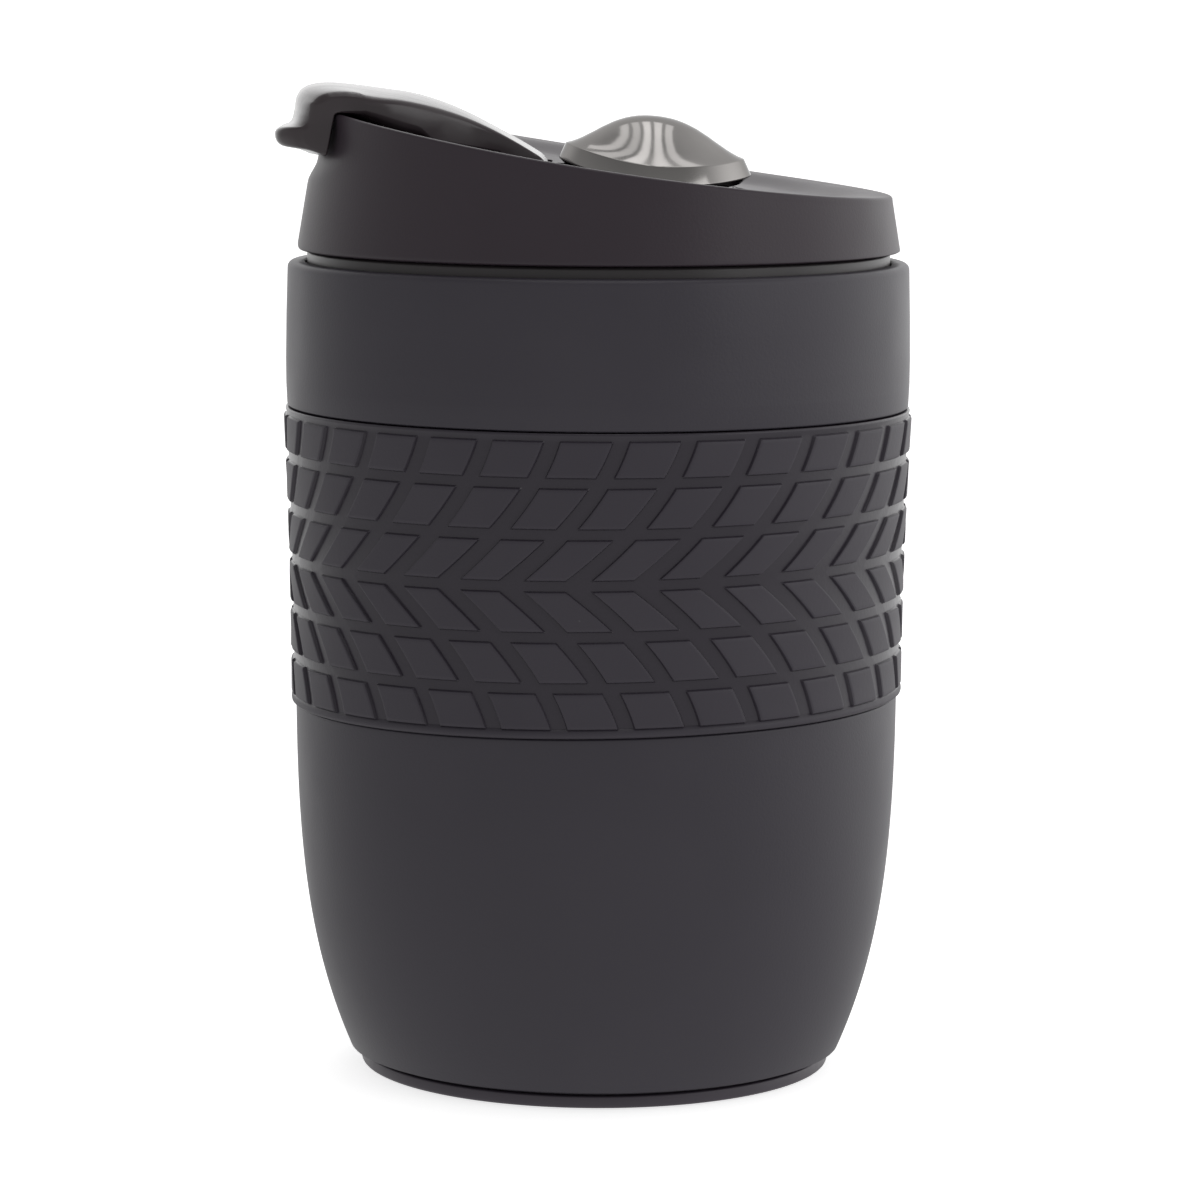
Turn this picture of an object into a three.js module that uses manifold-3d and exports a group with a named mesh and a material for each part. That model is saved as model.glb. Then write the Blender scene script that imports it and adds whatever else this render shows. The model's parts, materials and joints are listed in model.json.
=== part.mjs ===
// Double-wall travel mug: a tapered body with a tyre-tread grip sleeve, a push-in lid with a sloping top,
// a flip lever over the drinking slot and a domed vent button.
// Millimetres, +Z up, origin at the centre of the foot.
import * as THREE from "three";
import { mergeVertices } from "three/addons/utils/BufferGeometryUtils.js";
import Module from "manifold-3d";

const wasm = await Module();
wasm.setup();

// ---- driving dimensions ----
const GAP = 0.3; // room left between touching pieces
const OUTER_SIDES = 48; // facets round the outside pieces
const INNER_SIDES = 32; // facets round the hidden pieces

const PAD_R = 29.6;
const PAD_H = 1.5;
const BASE_R = 33.4;
const BASE_TOP = 2.0; // top of the visible base disc
const BASE_PLUG_TOP = 8.0;

const SHELL_WALL = 1.8;
const BELLY_R = 42.7; // radius that the lower body swells towards
const FOOT_R = 34.6; // radius at the foot of the lower body
const BELLY_RISE = 65; // height over which the lower body reaches its full radius
const BELLY_POWER = 3.6;
const SHELL_BOTTOM = 2.4;
const RECESS_R = 41.3; // wall under the grip sleeve
const RECESS_BOTTOM = 52.8;
const RECESS_TOP = 94.5;
const BAND_R = 44.0; // widest radius of the upper body
const SHOULDER_Z = 114.6;

const SLEEVE_R_BOTTOM = 43.4;
const SLEEVE_R_TOP = 44.5;

const LINER_WALL = 1.0;
const LINER_FLOOR = 9.0;
const LINER_MOUTH_R = 38.6;
const LINER_TOP = 118.0;

const LID_BOTTOM = 116.2;
const LID_BOTTOM_R = 42.45;
const LID_TAPER = 0.165; // radius lost per millimetre of height
const RIM_Z = 128.9; // height of the lid's rim above the cup's axis
const DISH_DEPTH = 1.6;
const PLATE = 1.8; // thickness of the lid's top
const TILT_FROM = LID_BOTTOM; // the slope grows from nothing here
const TILT_FULL = 125.0; // to its full value here
const SLOPE = -0.15; // rise of the lid's top for each millimetre towards +X
const SLOPE_BEND = 0.0007; // how much the slope eases off

const HINGE_X = -10.2;
const HINGE_Z = 126.8;
const BARREL_R = 3.3;
const BARREL_HALF = 7.9; // half its length
const PIN_R = 1.2;
const PIN_HALF = 10.6;
const LEVER_HALF_WIDTH = 16.3;
const LEVER_OVER_RIM = 136.4; // underside of the lever where it crosses the lid's rim
const HOOK_BOTTOM = 129.7;
const HOOK_R = 42.8; // the hook's outer face follows the lid's round side
const TAB_X = -44.8; // straight front edge of the thumb tab
const TAB_TOP = 133.4;
const TAB_CORNER = 5;

const SLOT_X = -27;
const SLOT_LENGTH = 12;
const SLOT_WIDTH = 7;

const BUTTON_X = 7.85;
const BUTTON_TRAVEL = 1.2;
const CAP_R = 13.55;
const CAP_LIP = 126.3; // height of the cap's lower edge above the button's axis
const CAP_SLOPE = -0.0886; // lean of the button cap
const CAP_SAG = 2.0; // how far the cap's edge dips on the near and far sides
const PLUNGER_R = 11.4;
const PLUNGER_TOP = 128.0;
const PLUNGER_PLATE = 1.6;
const WELL_R = 11.8;
const WELL_FLOOR = 119.5;
const WELL_FLOOR_THICK = 1.5;
const STEM_R = 1.8;

// ---- materials ----
const material = (color, roughness, metalness = 0) =>
  new THREE.MeshStandardMaterial({ color, roughness, metalness });
const SOFT_TOUCH = material(0x3a383c, 0.62);
const LID_PLASTIC = material(0x3d393a, 0.55);
const GRIP_RUBBER = material(0x2f2f32, 0.7);
const LEVER_PLASTIC = material(0x48454a, 0.38);
const COLLAR_BLACK = material(0x242327, 0.34);
const DOME_METAL = material(0x9a9693, 0.12, 1);
const STEEL = material(0xc4c6c8, 0.3, 1);
const SILICONE = material(0x55555a, 0.75);

// ---- geometry helpers ----
const point = (x, y) => new THREE.Vector2(x, y);

// A turned solid about Z. The outline is [radius, height] points that start and end on the axis, or that
// form a ring and are closed here. It may be given either way round.
function turned(outline, sides) {
  const points = outline.map(([r, z]) => point(r, z));
  const first = points[0];
  const last = points[points.length - 1];
  if (first.x > 0 || last.x > 0) points.push(first.clone());
  if (THREE.ShapeUtils.area(points) < 0) points.reverse();
  return new THREE.LatheGeometry(points, sides).rotateX(Math.PI / 2);
}

// Points of a quarter-round or other arc, angles in degrees.
function arc(centreR, centreZ, radius, from, to, steps) {
  return Array.from({ length: steps + 1 }, (_, i) => {
    const angle = THREE.MathUtils.degToRad(from + ((to - from) * i) / steps);
    return [centreR + radius * Math.cos(angle), centreZ + radius * Math.sin(angle)];
  });
}

// An [x, z] outline pulled along Y, centred on the XZ plane.
function crosswise(shape, width, curveSegments = 8) {
  return new THREE.ExtrudeGeometry(shape, { depth: width, bevelEnabled: false, curveSegments })
    .translate(0, 0, -width / 2)
    .rotateX(Math.PI / 2);
}

// An [x, y] outline pulled up along Z.
function upright(shape, from, to, curveSegments = 8) {
  return new THREE.ExtrudeGeometry(shape, { depth: to - from, bevelEnabled: false, curveSegments })
    .translate(0, 0, from);
}

function cylinder(radius, from, to, sides) {
  return turned([[0, from], [radius, from], [radius, to], [0, to]], sides);
}

// Moves every vertex by a function that changes a Vector3 in place.
function warped(geometry, change) {
  const position = geometry.getAttribute("position");
  const v = new THREE.Vector3();
  for (let i = 0; i < position.count; i++) {
    v.fromBufferAttribute(position, i);
    change(v);
    position.setXYZ(i, v.x, v.y, v.z);
  }
  geometry.computeVertexNormals();
  return geometry;
}

function toSolid(geometry) {
  const bare = new THREE.BufferGeometry();
  bare.setAttribute("position", geometry.getAttribute("position").clone());
  if (geometry.index) bare.setIndex(geometry.index.clone());
  const merged = mergeVertices(bare, 1e-3);
  const kept = [];
  const index = merged.index.array;
  for (let i = 0; i < index.length; i += 3) {
    const [a, b, c] = index.slice(i, i + 3);
    if (a !== b && b !== c && c !== a) kept.push(a, b, c);
  }
  return new wasm.Manifold(
    new wasm.Mesh({
      numProp: 3,
      vertProperties: merged.getAttribute("position").array,
      triVerts: new Uint32Array(kept),
    }),
  );
}

function toGeometry(solid) {
  const mesh = solid.getMesh();
  const geometry = new THREE.BufferGeometry();
  geometry.setAttribute("position", new THREE.BufferAttribute(mesh.vertProperties, 3));
  geometry.setIndex(new THREE.BufferAttribute(mesh.triVerts, 1));
  geometry.computeVertexNormals();
  return geometry;
}

// One body with others joined to it and then others cut from it.
function carved(base, { add = [], cut = [] }) {
  let solid = toSolid(base);
  for (const piece of add) solid = solid.add(toSolid(piece));
  for (const piece of cut) solid = solid.subtract(toSolid(piece));
  return toGeometry(solid);
}

function part(name, geometry, finish) {
  const mesh = new THREE.Mesh(geometry, finish);
  mesh.name = name;
  return mesh;
}

// ---- cup ----
const bellyRadius = (z) =>
  BELLY_R - (BELLY_R - FOOT_R) * Math.pow(1 - (z - BASE_TOP) / BELLY_RISE, BELLY_POWER);

function basePad() {
  return part("base_pad", cylinder(PAD_R, 0, PAD_H, INNER_SIDES), SILICONE);
}

// A stepped plug that closes the shell from below and holds the pad in a shallow recess.
function baseCap() {
  const rimBottom = 0.3;
  const floorTop = PAD_H + GAP + 1.6;
  const wallR = 32.4;
  const wallThick = 1.6;
  const outline = [
    [0, PAD_H + GAP],
    [PAD_R + GAP, PAD_H + GAP],
    [PAD_R + GAP, rimBottom],
    [BASE_R - 0.4, rimBottom],
    [BASE_R, rimBottom + 0.4],
    [BASE_R, BASE_TOP],
    [wallR, BASE_TOP + 0.1],
    [wallR, BASE_PLUG_TOP],
    [wallR - wallThick, BASE_PLUG_TOP],
    [wallR - wallThick, floorTop],
    [0, floorTop],
  ];
  return part("base_cap", turned(outline, OUTER_SIDES), SOFT_TOUCH);
}

// The outer wall: open at the foot for the base and at the shoulder for the neck ring.
function outerShell() {
  const bellySteps = 9;
  const outline = [];
  for (let i = 0; i <= bellySteps; i++) {
    const z = THREE.MathUtils.lerp(SHELL_BOTTOM, RECESS_BOTTOM, i / bellySteps);
    outline.push([bellyRadius(z), z]);
  }
  outline.push([RECESS_R, RECESS_BOTTOM], [RECESS_R, RECESS_TOP], [43.3, RECESS_TOP]);
  outline.push([43.9, RECESS_TOP + 0.8], [BAND_R, 100], [43.95, 106], [43.77, 112.8]);
  outline.push(...arc(43.0, SHOULDER_Z - 0.75, 0.75, 20, 90, 3));
  const lipR = 41.3;
  const lipThick = 1.6;
  outline.push([lipR, SHOULDER_Z], [lipR, SHOULDER_Z - lipThick], [BAND_R - SHELL_WALL, SHOULDER_Z - 2.6]);
  outline.push([BAND_R - SHELL_WALL, RECESS_TOP + 3], [RECESS_R - SHELL_WALL, RECESS_TOP]);
  outline.push([RECESS_R - SHELL_WALL, RECESS_BOTTOM - 4]);
  const innerSteps = 4;
  for (let i = 0; i <= innerSteps; i++) {
    const z = THREE.MathUtils.lerp(RECESS_BOTTOM - 14, SHELL_BOTTOM, i / innerSteps);
    outline.push([bellyRadius(z) - SHELL_WALL, z]);
  }
  return part("outer_shell", turned(outline, OUTER_SIDES), SOFT_TOUCH);
}

// The drinking vessel: a round-bottomed cup that widens into a straight mouth for the lid's plug.
function innerLiner() {
  const cornerR = 9;
  const cornerX = 23.4;
  const inside = (wall) => [
    [0, LINER_FLOOR - wall],
    ...arc(cornerX, LINER_FLOOR + cornerR, cornerR + wall, -90, 0, 5),
    [36.2 + wall, 94],
    [LINER_MOUTH_R + wall, 104],
    [LINER_MOUTH_R + wall, LINER_TOP],
  ];
  const outline = [...inside(LINER_WALL), ...inside(0).reverse()];
  return part("inner_liner", turned(outline, INNER_SIDES), STEEL);
}

// The dark collar between the cup and the lid. It grips the liner's mouth and hooks under the shell's lip.
function neckRing() {
  const bore = LINER_MOUTH_R + LINER_WALL + GAP;
  const outline = [
    [bore, 108],
    [41.9, 109.5],
    [41.9, 111.4],
    [41.0, 112.0],
    [41.0, LID_BOTTOM - GAP],
    [40.4, LID_BOTTOM],
    [40.4, 118.2],
    [bore, 118.2],
  ];
  return part("neck_ring", turned(outline, OUTER_SIDES), COLLAR_BLACK);
}

// The rubber band round the middle. Its outside leans out towards the top.
function gripSleeve() {
  const bottom = RECESS_BOTTOM + GAP;
  const top = RECESS_TOP - GAP;
  const inner = RECESS_R + GAP;
  const outline = [
    [inner, bottom],
    [SLEEVE_R_BOTTOM - 0.5, bottom],
    [SLEEVE_R_BOTTOM, bottom + 0.8],
    [SLEEVE_R_BOTTOM + 0.1, 62],
    [43.7, 72],
    [44.05, 82],
    [SLEEVE_R_TOP, top - 1.6],
    [SLEEVE_R_TOP - 0.8, top],
    [inner, top],
  ];
  return part("grip_sleeve", turned(outline, OUTER_SIDES), GRIP_RUBBER);
}

// ---- lid ----
const lidRadius = (z) => LID_BOTTOM_R - LID_TAPER * (z - LID_BOTTOM);
const slopeRise = (x) => SLOPE * x + SLOPE_BEND * x * x; // height of the sloping top above that at x = 0
const slopeAngle = (x) => -Math.atan(SLOPE + 2 * SLOPE_BEND * x);

// Turns a flat-topped lid shape into the sloping one: heights above `from` follow the slope, fully from
// `full` up, and radii keep to the lid's taper.
function sloped(geometry, from = TILT_FROM, full = TILT_FULL, keepTaper = true) {
  return warped(geometry, (v) => {
    const share = THREE.MathUtils.clamp((v.z - from) / (full - from), 0, 1);
    const z = v.z + share * slopeRise(v.x);
    if (keepTaper) {
      const scale = lidRadius(z) / lidRadius(v.z);
      v.x *= scale;
      v.y *= scale;
    }
    v.z = z;
  });
}

const floorZ = (x) => RIM_Z - DISH_DEPTH + slopeRise(x); // top of the dish at x

// Skirt and dished top in one, before its holes are made.
function lidBlank() {
  const wall = 1.5;
  const skirtInner = 41.3;
  const plateBottom = RIM_Z - DISH_DEPTH - PLATE;
  const outline = [
    [0, RIM_Z - DISH_DEPTH],
    [16, RIM_Z - DISH_DEPTH],
    [31, RIM_Z - DISH_DEPTH],
    [35, RIM_Z - DISH_DEPTH * 0.8],
    [38.6, RIM_Z - 0.15],
    [39.6, RIM_Z],
    [lidRadius(RIM_Z - 0.6), RIM_Z - 0.6],
    [lidRadius(123), 123],
    [lidRadius(LID_BOTTOM + 0.6), LID_BOTTOM + 0.6],
    [lidRadius(LID_BOTTOM) - 0.5, LID_BOTTOM],
    [skirtInner, LID_BOTTOM],
    [lidRadius(119.5) - wall * 0.8, 119.5],
    [lidRadius(plateBottom) - wall, plateBottom],
    [16, plateBottom],
    [0, plateBottom],
  ];
  return sloped(turned(outline, OUTER_SIDES));
}

// A rounded slot, long across the mug.
function slotShape(length, width) {
  const r = width / 2;
  const reach = length / 2 - r;
  const shape = new THREE.Shape();
  shape.absarc(0, reach, r, 0, Math.PI, false);
  shape.absarc(0, -reach, r, Math.PI, 2 * Math.PI, false);
  return shape;
}

// Places a shape drawn about the origin on the dish at x, square to the slope there.
function onDish(geometry, x) {
  return geometry.rotateY(slopeAngle(x)).translate(x, 0, floorZ(x));
}

// A plain box between two corners.
function box(x0, x1, y0, y1, z0, z1) {
  const geometry = new THREE.BoxGeometry(x1 - x0, y1 - y0, z1 - z0);
  return geometry.translate((x0 + x1) / 2, (y0 + y1) / 2, (z0 + z1) / 2);
}

// A cylinder on the lever's hinge line.
function onHinge(radius, halfLength, sides) {
  const geometry = cylinder(radius, -halfLength, halfLength, sides);
  return geometry.rotateX(Math.PI / 2).translate(HINGE_X, 0, HINGE_Z);
}

// The lid's skirt and top, with a well for the button, a hinge block and the drinking slot.
function lidShell() {
  const bossR = 15.6;
  const wellBoss = warped(cylinder(bossR, WELL_FLOOR - WELL_FLOOR_THICK, 125.2, INNER_SIDES), (v) => {
    if (v.z > WELL_FLOOR) v.z += slopeRise(v.x + BUTTON_X);
  }).translate(BUTTON_X, 0, 0);
  const hingeBlock = box(HINGE_X - 5, HINGE_X + 5.2, -12.4, 12.4, HINGE_Z - 5.3, HINGE_Z + 0.9);

  const seatBottom = CAP_LIP - CAP_SAG - BUTTON_TRAVEL + GAP;
  const capSeat = warped(cylinder(CAP_R + GAP, seatBottom, 135, INNER_SIDES), (v) => {
    if (v.z < RIM_Z) v.z += CAP_SLOPE * v.x;
  }).translate(BUTTON_X, 0, 0);
  const well = cylinder(WELL_R, WELL_FLOOR, 130, INNER_SIDES).translate(BUTTON_X, 0, 0);
  const stemHole = cylinder(STEM_R + 0.6, 110, 125, 16).translate(BUTTON_X, 0, 0);
  const drinkSlot = onDish(upright(slotShape(SLOT_LENGTH, SLOT_WIDTH), -6, 6, 6), SLOT_X);
    const reach = BARREL_R + GAP;
  const troughHalf = BARREL_HALF + GAP;
  const troughMouth = box(HINGE_X - reach, HINGE_X + reach, -troughHalf, troughHalf, HINGE_Z, 135);
  const trough = onHinge(reach, troughHalf, 24);
  const pinHole = onHinge(PIN_R + GAP, PIN_HALF + GAP, 16);
  const geometry = carved(lidBlank(), {
    add: [wellBoss, hingeBlock],
    cut: [capSeat, well, stemHole, drinkSlot, trough, troughMouth, pinHole],
  });
  return part("lid_shell", geometry, LID_PLASTIC);
}

// The ring that goes down into the liner's mouth. Its top follows the underside of the sloping lid.
function lidPlug() {
  const top = RIM_Z - DISH_DEPTH - PLATE - GAP;
  const outline = [
    [35.0, 107],
    [36.9, 107],
    [37.4, 107.6],
    [37.4, 109.6],
    [36.5, 109.6],
    [36.5, 112.8],
    [37.4, 112.8],
    [37.4, 118.5],
    [40.3, 118.5],
    [40.3, 119.4],
    [35.8, 119.4],
    [35.8, top],
    [34.2, top],
    [34.2, 118.5],
    [35.0, 117.7],
  ];
  return part("lid_plug", sloped(turned(outline, INNER_SIDES), 119.4, top, false), LID_PLASTIC);
}

// Two soft lips that wipe the liner's mouth.
function lidSeal() {
  const bottom = 109.9;
  const outline = [
    [36.8, bottom],
    [37.7, bottom],
    [38.3, bottom + 0.5],
    [37.7, bottom + 1.3],
    [38.3, bottom + 2.1],
    [37.7, bottom + 2.6],
    [36.8, bottom + 2.6],
  ];
  return part("lid_seal", turned(outline, INNER_SIDES), SILICONE);
}

function hingePin() {
  return part("hinge_pin", onHinge(PIN_R, PIN_HALF, 12), STEEL);
}

// ---- lever ----
// Side view of the lever, [x, z]: an S-curved arm from the hinge barrel to a hook with a thumb tab.
function leverOutline() {
  const clearOfDish = 0.5;
  const shape = new THREE.Shape();
  shape.moveTo(HINGE_X + 1.5, HINGE_Z + 2.9);
  shape.bezierCurveTo(-15.5, 133.9, -21.5, 137.7, -29.5, 138.5);
  shape.lineTo(-37.6, 139.4);
  shape.bezierCurveTo(-40.9, 139.4, -42.4, 138.6, -42.6, 136.6);
  shape.lineTo(-42.8, 135.3);
  shape.bezierCurveTo(-42.9, 134.3, -43.3, 133.5, -44.1, TAB_TOP);
  shape.lineTo(TAB_X, 132.6);
  shape.lineTo(TAB_X, 131.6);
  shape.lineTo(-43.9, 130.7);
  shape.lineTo(-40.4, HOOK_BOTTOM);
  shape.lineTo(-34, HOOK_BOTTOM);
  shape.lineTo(-34, 135.2);
  shape.lineTo(-25.5, 133.7);
  shape.lineTo(-22.6, floorZ(-22.6) + clearOfDish);
  shape.lineTo(-13.9, floorZ(-13.9) + clearOfDish);
  shape.lineTo(HINGE_X - 2.9, HINGE_Z + 1.4);
  shape.lineTo(HINGE_X, HINGE_Z);
  return shape;
}

// The lever seen from above: one half, from the hinge to the middle of the tab, and its mirror image.
function leverPlan() {
  const side = new THREE.Path();
  side.moveTo(HINGE_X + BARREL_R + 1, BARREL_HALF);
  side.lineTo(-15, BARREL_HALF);
  side.bezierCurveTo(-22, BARREL_HALF, -25, LEVER_HALF_WIDTH, -33, LEVER_HALF_WIDTH);
  side.lineTo(TAB_X + TAB_CORNER, LEVER_HALF_WIDTH);
  side.absarc(TAB_X + TAB_CORNER, LEVER_HALF_WIDTH - TAB_CORNER, TAB_CORNER, Math.PI / 2, Math.PI, false);
  side.lineTo(TAB_X, 0);
  const half = side.getPoints(7);
  const mirrored = half.slice(0, -1).reverse().map((p) => point(p.x, -p.y));
  return new THREE.Shape([...half, ...mirrored]);
}

const STOPPER_HEAD = { length: 15, width: 8.6, bottom: 0.35, top: 1.9 };

// The side and top views crossed, with a round outer wall on the hook and room for the lid and the stopper.
function flipLever() {
  const side = toSolid(crosswise(leverOutline(), 2 * LEVER_HALF_WIDTH + 4, 7));
  const plan = toSolid(upright(leverPlan(), 120, 145, 6));
  const roundWall = toSolid(cylinder(HOOK_R, 120, 145, 2 * OUTER_SIDES));
  const tabZone = toSolid(box(-50, -30, -20, 20, 120, TAB_TOP + 0.05));
  const barrel = toSolid(onHinge(BARREL_R, BARREL_HALF, 24));
  const pinBore = toSolid(onHinge(PIN_R + GAP, 12, 16));
  const skirtOutline = [
    [0, 120],
    [lidRadius(120) + GAP, 120],
    [lidRadius(LEVER_OVER_RIM) + GAP, LEVER_OVER_RIM],
    [0, LEVER_OVER_RIM],
  ];
  const skirt = toSolid(turned(skirtOutline, OUTER_SIDES));
  const hookZone = toSolid(box(-45, -34, -20, 20, 120, LEVER_OVER_RIM));
  const { length, width, top } = STOPPER_HEAD;
  const pocketShape = slotShape(length + 2 * GAP, width + 2 * GAP);
  const stopperPocket = toSolid(onDish(upright(pocketShape, -3, top + GAP, 6), SLOT_X));
  const solid = side
    .intersect(plan)
    .intersect(roundWall.add(tabZone))
    .add(barrel)
    .subtract(pinBore)
    .subtract(skirt.intersect(hookZone))
    .subtract(stopperPocket);
  return part("flip_lever", toGeometry(solid), LEVER_PLASTIC);
}

// The soft plug under the lever that closes the drinking slot.
function spoutStopper() {
  const { length, width, bottom, top } = STOPPER_HEAD;
  const head = upright(slotShape(length, width), bottom, top, 6);
  const nose = upright(slotShape(SLOT_LENGTH - 1.4, SLOT_WIDTH - 1.4), -2.2, bottom + 0.5, 6);
  return part("spout_stopper", onDish(carved(head, { add: [nose] }), SLOT_X), SILICONE);
}

// ---- button ----
// The polished bell-shaped button. It leans with the lid and its edge dips on two sides, like a saddle.
// Only the ring that sits on the plunger is level.
function buttonCap() {
  const crown = 134.95;
  const seat = PLUNGER_TOP + GAP;
  const outline = [
    [0, crown],
    [2.5, crown - 0.2],
    [4.2, crown - 0.65],
    [5.9, crown - 1.35],
    [7.6, crown - 2.3],
    [9.3, crown - 3.35],
    [10.9, crown - 4.25],
    [12.5, crown - 4.85],
    [CAP_R, 127.9],
    [PLUNGER_R + GAP, CAP_LIP],
    [PLUNGER_R + GAP, seat],
    [9.8, seat],
    [7.6, 130.3],
    [4.2, 132.2],
    [0, 133.0],
  ];
  const geometry = warped(turned(outline, INNER_SIDES), (v) => {
    if (Math.abs(v.z - seat) < 0.01) return;
    const edge = THREE.MathUtils.smoothstep(Math.hypot(v.x, v.y), 5, 12.5);
    v.z += CAP_SLOPE * v.x - CAP_SAG * edge * (v.y / CAP_R) ** 2;
  });
  return part("button_cap", geometry.translate(BUTTON_X, 0, 0), DOME_METAL);
}

// A bright cup that carries the cap and slides in the lid's well.
function buttonPlunger() {
  const bottom = WELL_FLOOR + BUTTON_TRAVEL + 2 * GAP;
  const ceiling = PLUNGER_TOP - PLUNGER_PLATE;
  const outline = [
    [STEM_R + GAP, PLUNGER_TOP],
    [PLUNGER_R, PLUNGER_TOP],
    [PLUNGER_R, bottom],
    [PLUNGER_R - 1.2, bottom],
    [PLUNGER_R - 1.2, ceiling],
    [STEM_R + GAP, ceiling],
  ];
  return part("button_plunger", turned(outline, INNER_SIDES).translate(BUTTON_X, 0, 0), STEEL);
}

const SEAL_TOP = WELL_FLOOR - WELL_FLOOR_THICK - GAP;
const SEAL_H = 1.5;
const CLIP_H = 0.8;

// A headed pin from the plunger down through the well's floor, with a groove for its clip.
function buttonStem() {
  const clipTop = SEAL_TOP - SEAL_H - GAP;
  const grooveR = STEM_R - 0.5;
  const outline = [
    [0, clipTop - CLIP_H - 2],
    [STEM_R, clipTop - CLIP_H - 2],
    [STEM_R, clipTop - CLIP_H - 0.2],
    [grooveR, clipTop - CLIP_H - 0.2],
    [grooveR, clipTop + 0.2],
    [STEM_R, clipTop + 0.2],
    [STEM_R, PLUNGER_TOP + GAP],
    [3.4, PLUNGER_TOP + GAP],
    [3.4, PLUNGER_TOP + 1.3],
    [0, PLUNGER_TOP + 1.3],
  ];
  return part("button_stem", turned(outline, 16).translate(BUTTON_X, 0, 0), STEEL);
}

function ventSeal() {
  const bore = STEM_R + GAP;
  const outline = [
    [bore, SEAL_TOP],
    [4.8, SEAL_TOP],
    [5.6, SEAL_TOP - 0.4],
    [4.8, SEAL_TOP - SEAL_H],
    [bore, SEAL_TOP - SEAL_H],
  ];
  return part("vent_seal", turned(outline, 24).translate(BUTTON_X, 0, 0), SILICONE);
}

function stemClip() {
  const top = SEAL_TOP - SEAL_H - GAP;
  const bore = STEM_R - 0.5 + GAP;
  const outline = [[bore, top], [3.6, top], [3.6, top - CLIP_H], [bore, top - CLIP_H]];
  return part("stem_clip", turned(outline, 16).translate(BUTTON_X, 0, 0), STEEL);
}

// A helix about the button's axis.
class Helix extends THREE.Curve {
  constructor(radius, from, to, turns) {
    super();
    Object.assign(this, { radius, from, to, turns });
  }
  getPoint(t, target = new THREE.Vector3()) {
    const angle = 2 * Math.PI * this.turns * t;
    const z = THREE.MathUtils.lerp(this.from, this.to, t);
    return target.set(this.radius * Math.cos(angle), this.radius * Math.sin(angle), z);
  }
}

function buttonSpring() {
  const wireR = 0.45;
  const from = WELL_FLOOR + GAP + wireR;
  const to = PLUNGER_TOP - PLUNGER_PLATE - GAP - wireR;
  const turns = 4;
  const wire = new THREE.Shape();
  wire.absarc(0, 0, wireR, 0, 2 * Math.PI, false);
  const geometry = new THREE.ExtrudeGeometry(wire, {
    extrudePath: new Helix(6.2, from, to, turns),
    steps: turns * 11,
    curveSegments: 3,
    bevelEnabled: false,
  });
  return part("button_spring", geometry.translate(BUTTON_X, 0, 0), STEEL);
}

// ---- assembly ----
const cup = new THREE.Group();
cup.add(basePad(), baseCap(), outerShell(), innerLiner(), neckRing(), gripSleeve());

const button = new THREE.Group();
button.add(buttonCap(), buttonPlunger(), buttonStem(), ventSeal(), stemClip());

const lever = new THREE.Group();
lever.add(flipLever(), spoutStopper());

const lid = new THREE.Group();
lid.add(lidShell(), lidPlug(), lidSeal(), hingePin(), buttonSpring(), lever, button);

const mug = new THREE.Group();
mug.add(cup, lid);

export default mug;
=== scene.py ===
# Travel mug with a tyre-tread grip: fine surfaces, materials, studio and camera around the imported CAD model.
# Outlines are drawn in millimetres and made in metres, in the CAD model's own frame.
import json
import math

import bmesh
import bpy
from mathutils import Matrix, Vector
from mathutils.geometry import delaunay_2d_cdt


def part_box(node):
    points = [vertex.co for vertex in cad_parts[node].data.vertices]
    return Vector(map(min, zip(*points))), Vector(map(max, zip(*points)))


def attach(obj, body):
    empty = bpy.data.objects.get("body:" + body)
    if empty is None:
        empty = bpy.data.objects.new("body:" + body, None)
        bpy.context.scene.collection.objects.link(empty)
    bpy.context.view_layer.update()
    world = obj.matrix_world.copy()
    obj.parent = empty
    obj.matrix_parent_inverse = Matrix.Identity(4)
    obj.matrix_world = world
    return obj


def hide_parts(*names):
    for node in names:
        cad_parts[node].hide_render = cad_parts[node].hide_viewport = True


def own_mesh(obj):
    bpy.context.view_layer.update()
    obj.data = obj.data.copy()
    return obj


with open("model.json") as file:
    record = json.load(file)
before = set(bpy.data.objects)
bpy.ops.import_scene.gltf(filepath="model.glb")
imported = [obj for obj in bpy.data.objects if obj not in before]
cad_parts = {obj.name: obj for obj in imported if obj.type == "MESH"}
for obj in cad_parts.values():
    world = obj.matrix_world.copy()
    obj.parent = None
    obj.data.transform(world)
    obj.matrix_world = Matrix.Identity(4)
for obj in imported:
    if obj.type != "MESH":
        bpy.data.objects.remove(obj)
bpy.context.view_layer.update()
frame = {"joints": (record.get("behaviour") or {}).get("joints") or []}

MM = 0.001
SIDES = 240  # facets round a turned piece
SHARP = math.radians(38)  # edges sharper than this aren't smoothed over
WELD = 1e-6  # points closer than this are one point
ON_AXIS = 1e-6
FILLET_SHARE = 0.49  # the most of a straight side that one fillet may take
GAP = 0.3  # clearance between parts that slide or fit into each other


def low(node):
    """A CAD node's lowest corner in millimetres."""
    return [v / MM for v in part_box(node)[0]]


def high(node):
    """A CAD node's highest corner in millimetres."""
    return [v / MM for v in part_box(node)[1]]


def mix(a, b, t):
    return a + (b - a) * t


def smoothstep(a, b, x):
    t = min(max((x - a) / (b - a), 0.0), 1.0)
    return t * t * (3 - 2 * t)


# ---------------------------------------------------------------- mesh helpers

def make_object(name, points, faces):
    """A smooth-shaded mesh object from millimetre points, with its faces turned outwards."""
    mesh = bpy.data.meshes.new(name)
    mesh.from_pydata([(x * MM, y * MM, z * MM) for x, y, z in points], [], faces)
    obj = bpy.data.objects.new(name, mesh)
    bpy.context.scene.collection.objects.link(obj)
    finish_mesh(obj)
    return obj


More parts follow.
